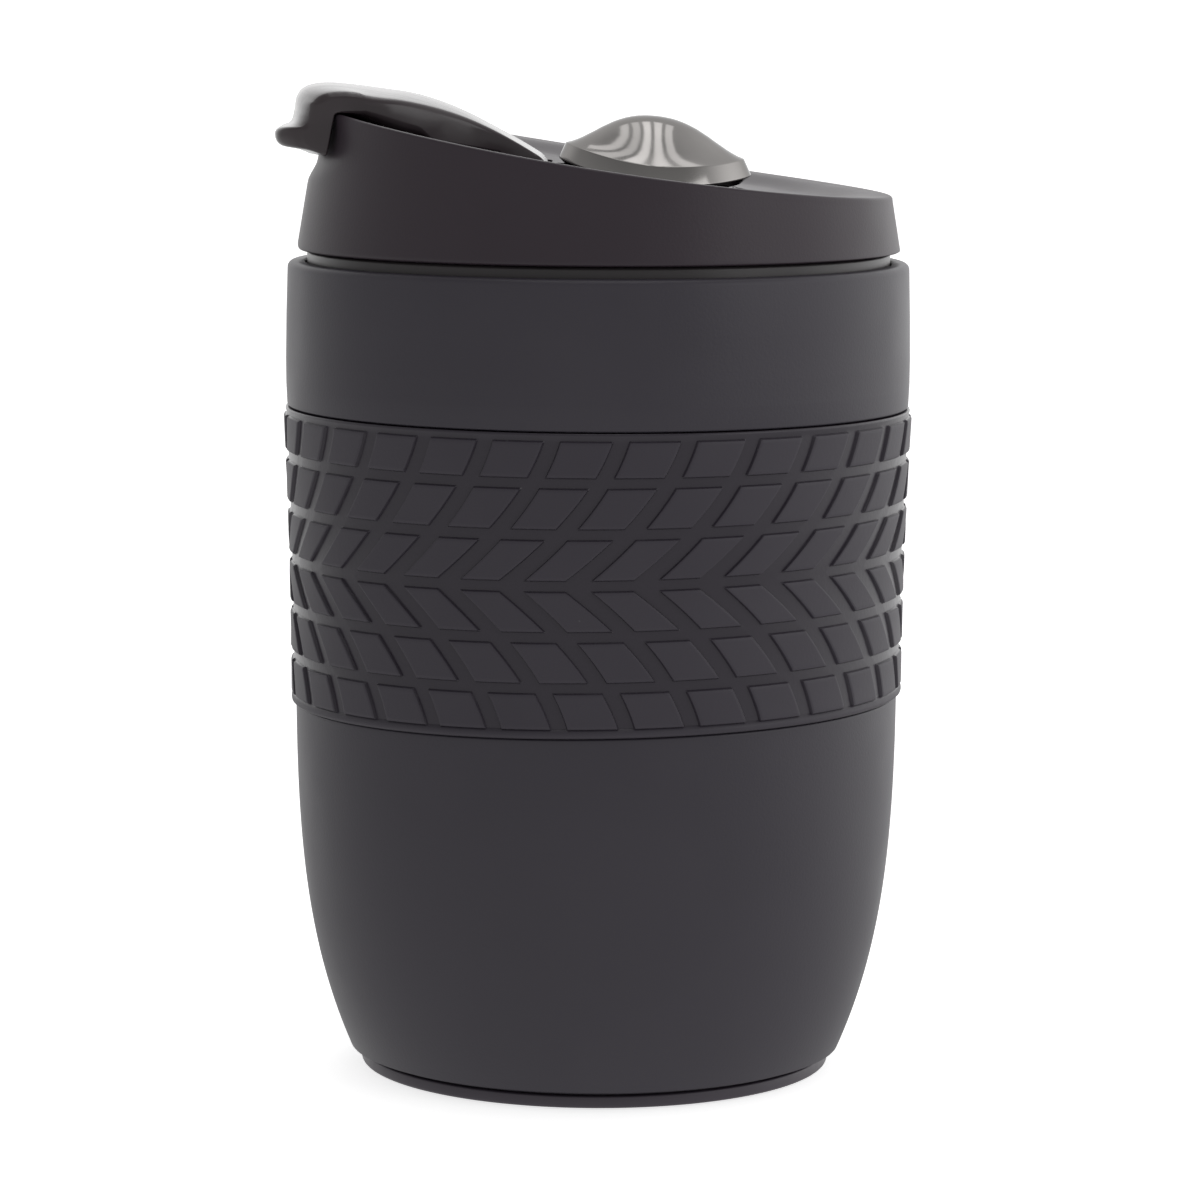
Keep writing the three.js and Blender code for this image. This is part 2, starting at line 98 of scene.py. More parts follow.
def finish_mesh(obj):
    """Welds the mesh, turns its faces outwards and shades it smooth between its sharp edges."""
    bm = bmesh.new()
    bm.from_mesh(obj.data)
    bmesh.ops.remove_doubles(bm, verts=bm.verts, dist=WELD)
    bmesh.ops.recalc_face_normals(bm, faces=bm.faces)
    bm.to_mesh(obj.data)
    bm.free()
    for polygon in obj.data.polygons:
        polygon.use_smooth = True
    obj.data.set_sharp_from_angle(angle=SHARP)


def rounded(corners, closed=False, steps=5):
    """An outline from (r, z) or (r, z, fillet radius) corners, with an arc at each filleted corner."""
    outline = []
    count = len(corners)
    for i, corner in enumerate(corners):
        here = Vector(corner[:2])
        radius = corner[2] if len(corner) > 2 else 0.0
        if radius == 0 or (not closed and i in (0, count - 1)):
            outline.append(tuple(here))
            continue
        back = Vector(corners[i - 1][:2]) - here
        on = Vector(corners[(i + 1) % count][:2]) - here
        half = back.angle(on) / 2
        reach = min(radius / math.tan(half), FILLET_SHARE * min(back.length, on.length))
        radius = reach * math.tan(half)
        back.normalize()
        on.normalize()
        centre = here + (back + on).normalized() * (radius / math.sin(half))
        start = here + back * reach - centre
        end = here + on * reach - centre
        turn = start.angle_signed(end)
        for k in range(steps + 1):
            angle = -turn * k / steps
            spoke = Matrix.Rotation(angle, 2) @ start
            outline.append(tuple(centre + spoke))
    return outline


def revolve(name, outline, closed=False, sides=SIDES, centre=(0.0, 0.0), warp=None):
    """Turns an outline about a vertical axis: a closed one into a ring, an open one from axis to axis."""
    points = []
    rings = []
    for r, z in outline:
        if r < ON_AXIS:
            rings.append([len(points)] * sides)
            points.append(Vector((0, 0, z)))
            continue
        rings.append(list(range(len(points), len(points) + sides)))
        for k in range(sides):
            angle = 2 * math.pi * k / sides
            points.append(Vector((r * math.cos(angle), r * math.sin(angle), z)))
    faces = []
    pairs = list(zip(rings, rings[1:])) + ([(rings[-1], rings[0])] if closed else [])
    for a, b in pairs:
        for k in range(sides):
            n = (k + 1) % sides
            face = list(dict.fromkeys([a[k], a[n], b[n], b[k]]))
            if len(face) > 2:
                faces.append(face)
    if warp:
        points = [warp(p) for p in points]
    shifted = [(p.x + centre[0], p.y + centre[1], p.z) for p in points]
    return make_object(name, shifted, faces)


def tube_faces(rings, around, closed=False):
    """Faces between rings of points in one list. A closed tube's last ring meets its first."""
    faces = []
    for a in range(rings if closed else rings - 1):
        b = (a + 1) % rings
        for k in range(around):
            n = (k + 1) % around
            faces.append([a * around + k, a * around + n, b * around + n, b * around + k])
    return faces


def prism(name, outline, bottom, top, place=None):
    """A flat [x, y] outline pulled up between two heights."""
    count = len(outline)
    points = [Vector((x, y, bottom)) for x, y in outline] + [Vector((x, y, top)) for x, y in outline]
    faces = [list(range(count))[::-1], list(range(count, 2 * count))]
    faces += [[k, (k + 1) % count, count + (k + 1) % count, count + k] for k in range(count)]
    if place:
        points = [place(p) for p in points]
    return make_object(name, [tuple(p) for p in points], faces)


def bezier(p0, p1, p2, p3, steps):
    """Points of a cubic curve in two dimensions, without its first one."""
    result = []
    for i in range(1, steps + 1):
        t = i / steps
        weights = ((1 - t) ** 3, 3 * t * (1 - t) ** 2, 3 * t * t * (1 - t), t ** 3)
        terms = list(zip(weights, (p0, p1, p2, p3)))
        result.append((sum(w * p[0] for w, p in terms), sum(w * p[1] for w, p in terms)))
    return result


def straight(start, end, steps):
    """Points along a straight line, without its first one."""
    shares = [k / steps for k in range(1, steps + 1)]
    return [(mix(start[0], end[0], share), mix(start[1], end[1], share)) for share in shares]


def arc(cx, cy, radius, start, end, steps):
    """Points of an arc, angles in degrees."""
    angles = [math.radians(mix(start, end, k / steps)) for k in range(steps + 1)]
    return [(cx + radius * math.cos(a), cy + radius * math.sin(a)) for a in angles]


def stadium(length, width, steps=12):
    """A slot outline with round ends, long across the mug."""
    r = width / 2
    reach = length / 2 - r
    return arc(0, reach, r, 0, 180, steps) + arc(0, -reach, r, 180, 360, steps)


def apply_modifiers(obj):
    """Gives obj the mesh that its modifiers make."""
    depsgraph = bpy.context.evaluated_depsgraph_get()
    mesh = bpy.data.meshes.new_from_object(obj.evaluated_get(depsgraph))
    old = obj.data
    obj.modifiers.clear()
    obj.data = mesh
    bpy.data.meshes.remove(old)


def combine(obj, operation, others):
    """Joins the others to obj (UNION) or cuts them from it (DIFFERENCE), and removes them."""
    for other in others:
        modifier = obj.modifiers.new("combine", "BOOLEAN")
        modifier.operation = operation
        modifier.solver = "EXACT"
        modifier.object = other
    apply_modifiers(obj)
    for other in others:
        mesh = other.data
        bpy.data.objects.remove(other)
        bpy.data.meshes.remove(mesh)


def ease_edges(obj, width, angle=30, segments=3):
    """Rounds every edge sharper than an angle."""
    modifier = obj.modifiers.new("ease", "BEVEL")
    modifier.width = width * MM
    modifier.segments = segments
    modifier.limit_method = "ANGLE"
    modifier.angle_limit = math.radians(angle)
    modifier.use_clamp_overlap = True
    apply_modifiers(obj)
    finish_mesh(obj)


def dress(obj, body, nodes, material):
    """Puts a piece on its body in place of its CAD nodes and material."""
    obj.data.materials.clear()
    obj.data.materials.append(material)
    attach(obj, body)
    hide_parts(*nodes)


# ---------------------------------------------------------------- materials

def smooth_range(tree, value, low_in, high_in, low_out, high_out):
    """Maps a range of a value onto another, smoothly."""
    node = tree.nodes.new("ShaderNodeMapRange")
    node.interpolation_type = "SMOOTHSTEP"
    limits = {"From Min": low_in, "From Max": high_in, "To Min": low_out, "To Max": high_out}
    for socket, number in limits.items():
        node.inputs[socket].default_value = number
    tree.links.new(value, node.inputs["Value"])
    return node.outputs["Result"]


CLOUD_RANGE = (0.35, 0.65)  # the part of a noise's values that colours are spread over
SHEEN_RANGE = (0.3, 0.7)  # and roughness


class Shader:
    """A Principled material with short calls for the textures that it needs."""

    def __init__(self, name, **sockets):
        self.material = bpy.data.materials.new(name)
        self.material.use_nodes = True
        self.tree = self.material.node_tree
        self.bsdf = self.tree.nodes["Principled BSDF"]
        self.where = self.node("ShaderNodeTexCoord").outputs["Object"]
        for socket, value in sockets.items():
            self.bsdf.inputs[socket.replace("_", " ")].default_value = value

    def node(self, kind, **values):
        node = self.tree.nodes.new(kind)
        for name, value in values.items():
            setattr(node, name, value)
        return node

    def link(self, output, node, socket):
        self.tree.links.new(output, node.inputs[socket])

    def noise(self, scale, detail=2.0, stretch=(1, 1, 1)):
        """Noise with `scale` lumps per metre."""
        mapping = self.node("ShaderNodeMapping")
        mapping.inputs["Scale"].default_value = stretch
        noise = self.node("ShaderNodeTexNoise")
        noise.inputs["Scale"].default_value = scale
        noise.inputs["Detail"].default_value = detail
        self.link(self.where, mapping, "Vector")
        self.link(mapping.outputs["Vector"], noise, "Vector")
        return noise.outputs["Fac"]

    def cells(self, scale):
        """Distance to the nearest of random dots, `scale` dots per metre."""
        cells = self.node("ShaderNodeTexVoronoi")
        cells.inputs["Scale"].default_value = scale
        self.link(self.where, cells, "Vector")
        return cells.outputs["Distance"]

    def spread(self, value, *limits):
        return smooth_range(self.tree, value, *limits)

    def times(self, a, b):
        node = self.node("ShaderNodeMath", operation="MULTIPLY")
        self.link(a, node, 0)
        self.link(b, node, 1)
        return node.outputs["Value"]

    def blend(self, factor, first, second):
        """A colour between two: each is a colour or another output."""
        node = self.node("ShaderNodeMix", data_type="RGBA")
        self.link(factor, node, "Factor")
        for socket, colour in ((6, first), (7, second)):
            if isinstance(colour, tuple):
                node.inputs[socket].default_value = (*colour, 1)
            else:
                self.tree.links.new(colour, node.inputs[socket])
        return node.outputs[2]

    def colour(self, output):
        self.link(output, self.bsdf, "Base Color")

    def clouded(self, cloud, first, second):
        """A colour that drifts between two shades with a noise."""
        return self.blend(self.spread(cloud, *CLOUD_RANGE, 0, 1), first, second)

    def roughness(self, output):
        self.link(output, self.bsdf, "Roughness")

    def bump(self, height, distance, strength=1.0):
        """Adds relief of `distance` metres. Calls add up."""
        node = self.node("ShaderNodeBump")
        node.inputs["Distance"].default_value = distance
        node.inputs["Strength"].default_value = strength
        self.link(height, node, "Height")
        earlier = self.bsdf.inputs["Normal"].links
        if earlier:
            self.link(earlier[0].from_socket, node, "Normal")
        self.link(node.outputs["Normal"], self.bsdf, "Normal")


def soft_touch(name, colour, dusk, gloss):
    """Soft-touch paint on plastic: a fine even tooth, with faint handling marks in its sheen."""
    shader = Shader(name, IOR=1.45)
    cloud = shader.noise(45, 4)
    shader.colour(shader.clouded(cloud, colour, dusk))
    shader.roughness(shader.spread(cloud, *SHEEN_RANGE, gloss - 0.03, gloss + 0.04))
    shader.bump(shader.noise(2600, 3), 0.04 * MM, 0.5)
    return shader.material


def grip_rubber():
    """Silicone with dull block tops, smoother grooves coloured darker as painted shade, and a little dust."""
    shader = Shader("grip_rubber", IOR=1.45)
    cloud = shader.noise(60, 4)
    relief = shader.node("ShaderNodeAttribute", attribute_name="relief").outputs["Fac"]
    tops = shader.clouded(cloud, (0.0400, 0.0342, 0.0460), (0.0437, 0.0378, 0.0497))
    # Painted shade: the groove floors get a darker colour than the block tops, blended by the relief
    # attribute.
    rubber_with_groove_shade = shader.blend(relief, (0.0318, 0.0264, 0.0366), tops)
    specks = shader.spread(shader.cells(520), 0.05, 0.09, 1, 0)
    patches = shader.spread(shader.noise(70, 3), 0.6, 0.72, 0, 1)
    dust = shader.times(specks, patches)
    shader.colour(shader.blend(dust, rubber_with_groove_shade, (0.10, 0.10, 0.105)))
    shader.roughness(shader.spread(relief, 0.1, 0.9, 0.28, 0.50))
    shader.bump(shader.noise(1700, 4), 0.05 * MM, 0.4)
    return shader.material


def satin_plastic(name, colour, dusk, gloss):
    """Smooth moulded plastic with fine rubbing marks along X."""
    shader = Shader(name, IOR=1.5)
    cloud = shader.noise(80, 3)
    rubs = shader.noise(700, 2, stretch=(0.06, 1, 1))
    shader.colour(shader.clouded(cloud, colour, dusk))
    shader.roughness(shader.spread(rubs, 0.35, 0.7, gloss - 0.015, gloss + 0.02))
    shader.bump(shader.noise(1500, 2), 0.02 * MM, 0.2)
    return shader.material


def sheen_plastic(name, colour, gloss):
    """Moulded plastic with an even sheen and a faint waviness."""
    shader = Shader(name, IOR=1.52)
    cloud = shader.noise(60, 3)
    lighter = tuple(channel * 1.25 for channel in colour)
    shader.colour(shader.clouded(cloud, colour, lighter))
    shader.roughness(shader.spread(cloud, *SHEEN_RANGE, gloss, gloss + 0.035))
    shader.bump(shader.noise(120, 2), 0.03 * MM, 0.25)
    return shader.material


def dome_metal():
    """Plated, polished button: a warm grey mirror, faintly hazed by handling."""
    shader = Shader("dome_metal", Metallic=1.0)
    haze = shader.noise(90, 4)
    shader.colour(shader.clouded(haze, (0.31, 0.298, 0.29), (0.34, 0.327, 0.318)))
    shader.roughness(shader.spread(haze, 0.35, 0.7, 0.08, 0.13))
    shader.bsdf.inputs["Specular Tint"].default_value = (0.45, 0.45, 0.45, 1)
    shader.bump(shader.noise(150, 2), 0.04 * MM, 0.3)
    return shader.material


def steel(name, gloss, stretch):
    """Stainless steel, brushed along the axes where `stretch` is small."""
    shader = Shader(name, Metallic=1.0)
    brushing = shader.noise(1400, 3, stretch=stretch)
    shade = shader.spread(brushing, *SHEEN_RANGE, 0, 1)
    shader.colour(shader.blend(shade, (0.52, 0.52, 0.53), (0.68, 0.68, 0.69)))
    shader.roughness(shader.spread(brushing, *SHEEN_RANGE, gloss - 0.05, gloss + 0.08))
    shader.bump(brushing, 0.02 * MM, 0.3)
    return shader.material


def silicone(name, colour):
    """Dull, slightly waxy rubber that lets a little light in."""
    shader = Shader(name, IOR=1.41, Subsurface_Weight=0.1)
    shader.bsdf.inputs["Subsurface Radius"].default_value = (0.001, 0.001, 0.001)
    cloud = shader.noise(150, 3)
    lighter = tuple(channel * 1.3 for channel in colour)
    shader.colour(shader.clouded(cloud, colour, lighter))
    shader.roughness(shader.spread(cloud, *SHEEN_RANGE, 0.5, 0.62))
    shader.bump(shader.noise(1900, 2), 0.03 * MM, 0.4)
    return shader.material


SHELL_PAINT = soft_touch("shell_soft_touch", (0.0393, 0.0345, 0.0457), (0.0425, 0.0375, 0.0490), 0.42)
LID_PAINT = soft_touch("lid_soft_touch", (0.0312, 0.0213, 0.0295), (0.0335, 0.0232, 0.0320), 0.42)
BASE_PLASTIC = satin_plastic("base_plastic", (0.0445, 0.0357, 0.0488), (0.0482, 0.0390, 0.0526), 0.42)
COLLAR_BLACK = sheen_plastic("collar_black", (0.034, 0.029, 0.031), 0.34)
GRIP = grip_rubber()
LEVER_SATIN = satin_plastic("lever_satin", (0.0460, 0.0360, 0.0400), (0.0490, 0.0390, 0.0430), 0.19)
DOME_METAL = dome_metal()
LINER_STEEL = steel("liner_steel", 0.28, (1, 1, 0.03))
POLISHED_STEEL = steel("polished_steel", 0.16, (1, 1, 0.1))
SPRING_STEEL = steel("spring_steel", 0.3, (1, 1, 1))
SILICONE = silicone("silicone_grey", (0.085, 0.085, 0.09))
PAD_RUBBER = silicone("pad_rubber", (0.028, 0.028, 0.028))


# ---------------------------------------------------------------- cup

BELLY_R = 42.7
FOOT_R = 34.6
BELLY_FROM = 2.0  # height at which the belly starts to swell from the foot
BELLY_RISE = 65.0
BELLY_POWER = 3.6
WALL = 1.8
MOUTH_R = 41.3  # bore of the shell's upper lip
SLEEVE_LOW = low("grip_sleeve")[2]
SLEEVE_HIGH = high("grip_sleeve")[2]
SLEEVE_BORE = 41.6
SLEEVE_TILT = 0.0185  # rise of the sleeve's lower edge for each millimetre towards +X
LIP_TILT = 0.95 * SLEEVE_TILT
RECESS_R = SLEEVE_BORE - GAP
SHOULDER = high("outer_shell")[2]
SHELL_FOOT = low("outer_shell")[2]
BAND_R = high("outer_shell")[0]
BAND_LOW_R = 43.82  # the band above the sleeve swells from here to BAND_R
BAND_HIGH_R = 43.92  # and draws in again through here
LIP_R = 43.72


def belly(z):
    """The shell's radius below the sleeve."""
    return BELLY_R - (BELLY_R - FOOT_R) * (1 - (z - BELLY_FROM) / BELLY_RISE) ** BELLY_POWER


def build_shell():
    recess_low = SLEEVE_LOW - 0.08
    recess_high = SLEEVE_HIGH + 0.12
    outside = [mix(SHELL_FOOT + 0.5, recess_low - 0.6, k / 40) for k in range(41)]
    inside = [mix(recess_low - 12, SHELL_FOOT + 0.5, k / 12) for k in range(13)]
    corners = [(FOOT_R - 1.0, SHELL_FOOT)] + [(belly(z), z) for z in outside]
    corners += [
        (belly(recess_low), recess_low, 0.7),
        (RECESS_R, recess_low),
        (RECESS_R, recess_high),
        (BAND_LOW_R, recess_high, 0.35),
        (BAND_R - 0.03, 97.5, 8.0),
        (BAND_R, 101.0, 20.0),
        (BAND_HIGH_R, 107.0, 20.0),
        (LIP_R, SHOULDER, 0.9),
        (MOUTH_R, SHOULDER, 0.3),
        (MOUTH_R, SHOULDER - 1.6),
        (BAND_R - WALL, SHOULDER - 2.6),
        (BAND_R - WALL, recess_high + 2.7),
        (RECESS_R - WALL, recess_high),
        (RECESS_R - WALL, recess_low - 4),
    ]
    corners += [(belly(z) - WALL, z) for z in inside]
    corners += [(FOOT_R - WALL, SHELL_FOOT)]

    def lip(p):
        """The lip under the sleeve follows the sleeve's own slant, and the slant fades out below it."""
        fade = 4
        near = 1 - smoothstep(0, fade, abs(p.z - recess_low))
        return Vector((p.x, p.y, p.z + near * LIP_TILT * p.x))

    outline = rounded(corners, closed=True, steps=6)
    shell = revolve("shell_body", outline, closed=True, sides=288, warp=lip)
    dress(shell, "cup", ["outer_shell"], SHELL_PAINT)


def build_base():
    rim_low = low("base_cap")[2]
    rim_r = high("base_cap")[0]
    pad_r = high("base_pad")[0]
    pad_h = high("base_pad")[2]
    rim_top = 2.05
    collar_r = 32.4
    collar_bore = 30.8
    collar_top = 8.0
    floor_top = 3.4
    cap = [
        (0, pad_h + GAP),
        (pad_r + GAP, pad_h + GAP),
        (pad_r + GAP, rim_low, 0.15),
        (rim_r, rim_low, 0.5),
        (rim_r, rim_top, 0.3),
        (collar_r, rim_top + 0.05),
        (collar_r, collar_top, 0.3),
        (collar_bore, collar_top, 0.3),
        (collar_bore, floor_top, 0.5),
        (0, floor_top),
    ]
    dress(revolve("foot_cap", rounded(cap)), "cup", ["base_cap"], BASE_PLASTIC)
    pad = [(0, 0), (pad_r, 0, 0.35), (pad_r, pad_h, 0.2), (0, pad_h)]
    rings = [pad[0]]
    for groove_r in (9.0, 16.0, 23.0):
        groove = ((-0.6, 0, 0.15), (-0.3, 0.4, 0.1), (0.3, 0.4, 0.1), (0.6, 0, 0.15))
        rings += [(groove_r + across, deep, fillet) for across, deep, fillet in groove]
    dress(revolve("foot_pad", rounded(rings + pad[1:])), "cup", ["base_pad"], PAD_RUBBER)


def build_liner():
    wall = 1.0
    floor_in = low("inner_liner")[2] + wall
    top = high("inner_liner")[2]
    mouth = high("inner_liner")[0] - wall
    floor_r = 23.4
    corner_r = 9.0
    neck_r, neck_low, neck_high = 36.2, 94, 104

    def side(offset):
        corner = arc(floor_r, floor_in + corner_r, corner_r + offset, -90, 0, 24)
        neck = [(neck_r + offset, neck_low, 6), (mouth + offset, neck_high, 6)]
        return [(0, floor_in - offset)] + corner + neck

    outline = side(wall) + [(mouth + wall, top, 0.45), (mouth, top, 0.45)] + side(0)[::-1]
    liner = revolve("liner_cup", rounded(outline, steps=6))
    dress(liner, "cup", ["inner_liner"], LINER_STEEL)


def build_neck_ring():
    top = high("neck_ring")[2]
    ledge = 115.9
    bore = 39.9
    collar_r = 41.0
    rib_r = 41.9
    upper_r = 40.4
    outline = [
        (bore, 108), (rib_r, 109.5, 0.2), (rib_r, 111.4, 0.2), (collar_r, 112.0), (collar_r, ledge, 0.6),
        (upper_r, ledge + 0.3), (upper_r, top, 0.3), (bore, top, 0.2),
    ]
    ring = revolve("collar_ring", rounded(outline, closed=True), closed=True)
    dress(ring, "cup", ["neck_ring"], COLLAR_BLACK)


# ---------------------------------------------------------------- grip sleeve

BLOCKS = 30  # tread blocks in a turn
TREAD_MID = 73.73  # height of the line that the tread is mirrored about
ROWS = ((0.85, 6.05), (7.75, 12.95), (14.6, 19.25))  # block rows, measured up or down from that line
TREAD_DEPTH = 0.44
EDGE = 0.22  # rounding of the blocks' top edges
EDGE_RELIEF = 0.84  # share of the depth at a block's outline, where the rounding starts
FLAT_FROM = 2.2 * EDGE  # a block's top is level from this far inside its outline
LAST_ROW_SHIFT = 1.0  # the lowest row stands this far on from the line of the grooves
LAST_ROW_FROM = ROWS[-1][0] - 0.8  # and the shift starts in the groove before it
GROOVE = 2.3  # width of the slanting grooves, square to their run
WALL_RUN = 0.20  # how far a block's side leans out at its foot
SLANT_START = 1.30  # sideways run of the grooves per millimetre of height, at the middle line
SLANT_BEND = 0.0510  # and how fast that falls off
PITCH = 2 * math.pi / BLOCKS
GRIP_R = 43.5
PHASE = math.radians(7.6)  # how far the tread's first block is turned round the mug
TREAD_LOW_R = 43.34
TREAD_FLARE = 0.12
TREAD_FLARE_BEND = 0.95
TILT_FADE = 26  # the sleeve's slant grows from nothing at its top to all of it this far down
# The plain edges: distance from the sleeve's end and depth below the tread's top.
BEAD = ((0.0, 0.44), (0.07, 0.25), (0.25, 0.06), (0.5, 0.0),
        (0.8, 0.03), (1.05, 0.15), (1.25, 0.33), (1.4, 0.42))
TOP_EDGE = ((0.55, 0.42), (0.42, 0.36), (0.3, 0.33), (0.15, 0.36), (0.04, 0.45), (0.0, 0.65))


def tread_top(z):
    """Radius over the blocks at a height: the sleeve flares a little towards its top."""
    t = (z - SLEEVE_LOW) / (SLEEVE_HIGH - SLEEVE_LOW)
    return TREAD_LOW_R + TREAD_FLARE * t + TREAD_FLARE_BEND * t * t


def slant(t):
    """Angle by which a groove has moved round the sleeve at t millimetres from the middle line."""
    return (SLANT_START * t - SLANT_BEND * t * t / 2) / GRIP_R


def groove_half(t):
    """Half the groove's width round the sleeve, as an angle."""
    lean = math.atan(SLANT_START - SLANT_BEND * t)
    return GROOVE / 2 / math.cos(lean) / GRIP_R


def row_lines(near, far):
    """Heights across one row of blocks, from foot to foot, as (t, share of depth)."""
    lines = [(near - WALL_RUN, 0.0), (near, EDGE_RELIEF), (near + EDGE, 1.0), (near + FLAT_FROM, 1.0)]
    lines += [(mix(near + FLAT_FROM, far - FLAT_FROM, k / 4), 1.0) for k in (1, 2, 3)]
    lines += [(far - FLAT_FROM, 1.0), (far - EDGE, 1.0), (far, EDGE_RELIEF), (far + WALL_RUN, 0.0)]
    return lines


def block_columns():
    """The lines up one block, from side to side: (share of half a block, extra angle, share of depth)."""
    left = [(-1, -WALL_RUN, 0.0), (-1, 0.0, EDGE_RELIEF), (-1, EDGE, 1.0), (-1, FLAT_FROM, 1.0)]
    left += [(-0.33, 0.0, 1.0)]
    right = [(-share, -extra, relief) for share, extra, relief in reversed(left)]
    return [(share, extra / GRIP_R, relief) for share, extra, relief in left + right]


def block_angle(block, share, extra, z):
    """Angle of one line of one block at a height."""
    t = min(abs(z - TREAD_MID), ROWS[-1][1] + WALL_RUN)
    middle = (block + 0.5) * PITCH + slant(t) + PHASE - math.pi / 2
    if z < TREAD_MID and t > LAST_ROW_FROM:
        middle += LAST_ROW_SHIFT / GRIP_R
    return middle + share * (PITCH / 2 - groove_half(t)) + extra


def sleeve_rings():
    """The sleeve's rings, up the outside and down the bore: (height, radius in the grooves, relief)."""
    half = [line for near, far in ROWS for line in row_lines(near, far)]
    lines = [(-t, relief) for t, relief in reversed(half)] + [(0.0, 0.0)] + half
    rings = [(SLEEVE_LOW, SLEEVE_BORE + 0.1, 0.0)]
    rings += [(SLEEVE_LOW + up, tread_top(SLEEVE_LOW) - below, 0.0) for up, below in BEAD]
    rings += [(TREAD_MID + t, tread_top(TREAD_MID + t) - TREAD_DEPTH, relief) for t, relief in lines]
    rings += [(SLEEVE_HIGH - down, tread_top(SLEEVE_HIGH) - below, 0.0) for down, below in TOP_EDGE]
    rings += [(SLEEVE_HIGH, SLEEVE_BORE + 0.1, 0.0)]
    return rings + [(z, SLEEVE_BORE, 0.0) for z in (SLEEVE_HIGH - 0.3, SLEEVE_LOW + 0.3)]


def build_sleeve():
    rings = sleeve_rings()
    columns = block_columns()
    points = []
    for z, groove_r, row_relief in rings:
        # The stretched band sits a little crooked: its lower rows ride up on one side.
        lift = SLEEVE_TILT * GRIP_R * smoothstep(SLEEVE_HIGH, SLEEVE_HIGH - TILT_FADE, z)
        for block in range(BLOCKS):
            for share, extra, relief in columns:
                angle = block_angle(block, share, extra, z)
                radius = groove_r + min(row_relief, relief) * TREAD_DEPTH
                across = math.cos(angle)
                points.append((radius * across, radius * math.sin(angle), z + lift * across))
    faces = tube_faces(len(rings), BLOCKS * len(columns), closed=True)
    sleeve = make_object("tread_sleeve", points, faces)
    write_relief(sleeve)
    dress(sleeve, "cup", ["grip_sleeve"], GRIP)


def write_relief(sleeve):
    """Stores how far each point stands out of the grooves, 0 to 1, for the rubber's painted groove shade in
    its colour and for its sheen.
    """
    relief = sleeve.data.attributes.new("relief", "FLOAT", "POINT")
    for vertex, value in zip(sleeve.data.vertices, relief.data):
        x, y, z = vertex.co / MM
        value.value = min(max(1 + (math.hypot(x, y) - tread_top(z)) / TREAD_DEPTH, 0.0), 1.0)


# ---------------------------------------------------------------- lid

LID_BOTTOM = low("lid_shell")[2]
LID_BOTTOM_R = 42.45
LID_TAPER = 0.165  # how much the skirt's radius shrinks for each millimetre of height
RIM_Z = 128.9  # height of the rim over the mug's middle, before the slope is added
RIM_FILLET = 0.45
DISH = 1.6  # depth of the dish inside the rim
DISH_FROM = 30.0  # the dish's floor ends here
DISH_TO = 38.3  # and meets the rim here
PLATE = 1.8
SLOPE = -0.15  # rise of the lid's top for each millimetre towards +X
SLOPE_BEND = 0.0007
TILT_FULL = 125.0  # the skirt's rings are level at its foot and have the full slope from here up
HINGE = next(joint for joint in frame["joints"] if joint["name"] == "lever_flip")["pos_m"]
HINGE_X = HINGE[0] / MM
HINGE_Z = HINGE[2] / MM
PIN_BORE = 1.5
BARREL_R = 3.3
BARREL_HALF = 7.9
LEVER_HALF = high("flip_lever")[1]
OVER_RIM = 135.4  # the lever's underside where it passes over the rim
BUTTON_X = (low("button_plunger")[0] + high("button_plunger")[0]) / 2
WELL_R = 11.8
WELL_FLOOR = 119.5
CAP_R = high("button_cap")[1]
CAP_LIP = 126.3  # height of the cap's lower edge at its middle, before it dips
CAP_SLOPE = -0.0886
CAP_SAG = 2.0  # how far the cap's edge dips on the near and far sides
BUTTON_TRAVEL = 1.2
SLOT_X = -27.0  # middle of the drink opening


def lid_radius(z):
    """Radius of the lid's skirt at a height."""
    return LID_BOTTOM_R - LID_TAPER * (z - LID_BOTTOM)


def slope_rise(x):
    return SLOPE * x + SLOPE_BEND * x * x


def floor_z(x):
    """Height of the dish's floor."""
    return RIM_Z - DISH + slope_rise(x)


def lid_top(x, y):
    """Height of the lid's dished and sloping top."""
    return RIM_Z - DISH + DISH * smoothstep(DISH_FROM, DISH_TO, math.hypot(x, y)) + slope_rise(x)


def slope_lid(p, start=LID_BOTTOM, full=TILT_FULL, taper=True):
    """Turns a flat-topped lid's point into the sloping lid's."""
    share = min(max((p.z - start) / (full - start), 0.0), 1.0)
    z = p.z + share * slope_rise(p.x)
    scale = lid_radius(z) / lid_radius(p.z) if taper else 1.0
    return Vector((p.x * scale, p.y * scale, z))


def scoop(p):
    """Presses a shallow finger hollow into the skirt below the lever's tab."""
    half_angle = math.radians(34)
    middle = 131.2
    half_height = 5.6
    deepest = 0.9
    reach = math.hypot(p.x, p.y)
    if p.x > 0 or reach < lid_radius(p.z) - 0.3:
        return p
    far = math.hypot(math.atan2(p.y, -p.x) / half_angle, (p.z - middle) / half_height)
    depth = deepest * (1 - smoothstep(0.45, 1.0, far))
    scale = 1 - depth / reach
    return Vector((p.x * scale, p.y * scale, p.z))


def on_dish(x):
    """A placement for shapes drawn about the origin: on the dish at x, square to its slope."""
    lean = Matrix.Rotation(-math.atan(SLOPE + 2 * SLOPE_BEND * x), 3, "Y")
    place = Vector((x, 0, floor_z(x)))
    return lambda p: lean @ p + place


def on_hinge(name, radius, half_length, steps=64):
    """A round bar on the lever's hinge line."""
    outline = arc(0, 0, radius, 0, 360 - 360 / steps, steps - 1)

    def place(p):
        return Vector((HINGE_X + p.x, p.z, HINGE_Z + p.y))

    return prism(name, outline, -half_length, half_length, place)


def block(name, x0, x1, y0, y1, z0, z1):
    return prism(name, [(x0, y0), (x1, y0), (x1, y1), (x0, y1)], z0, z1)


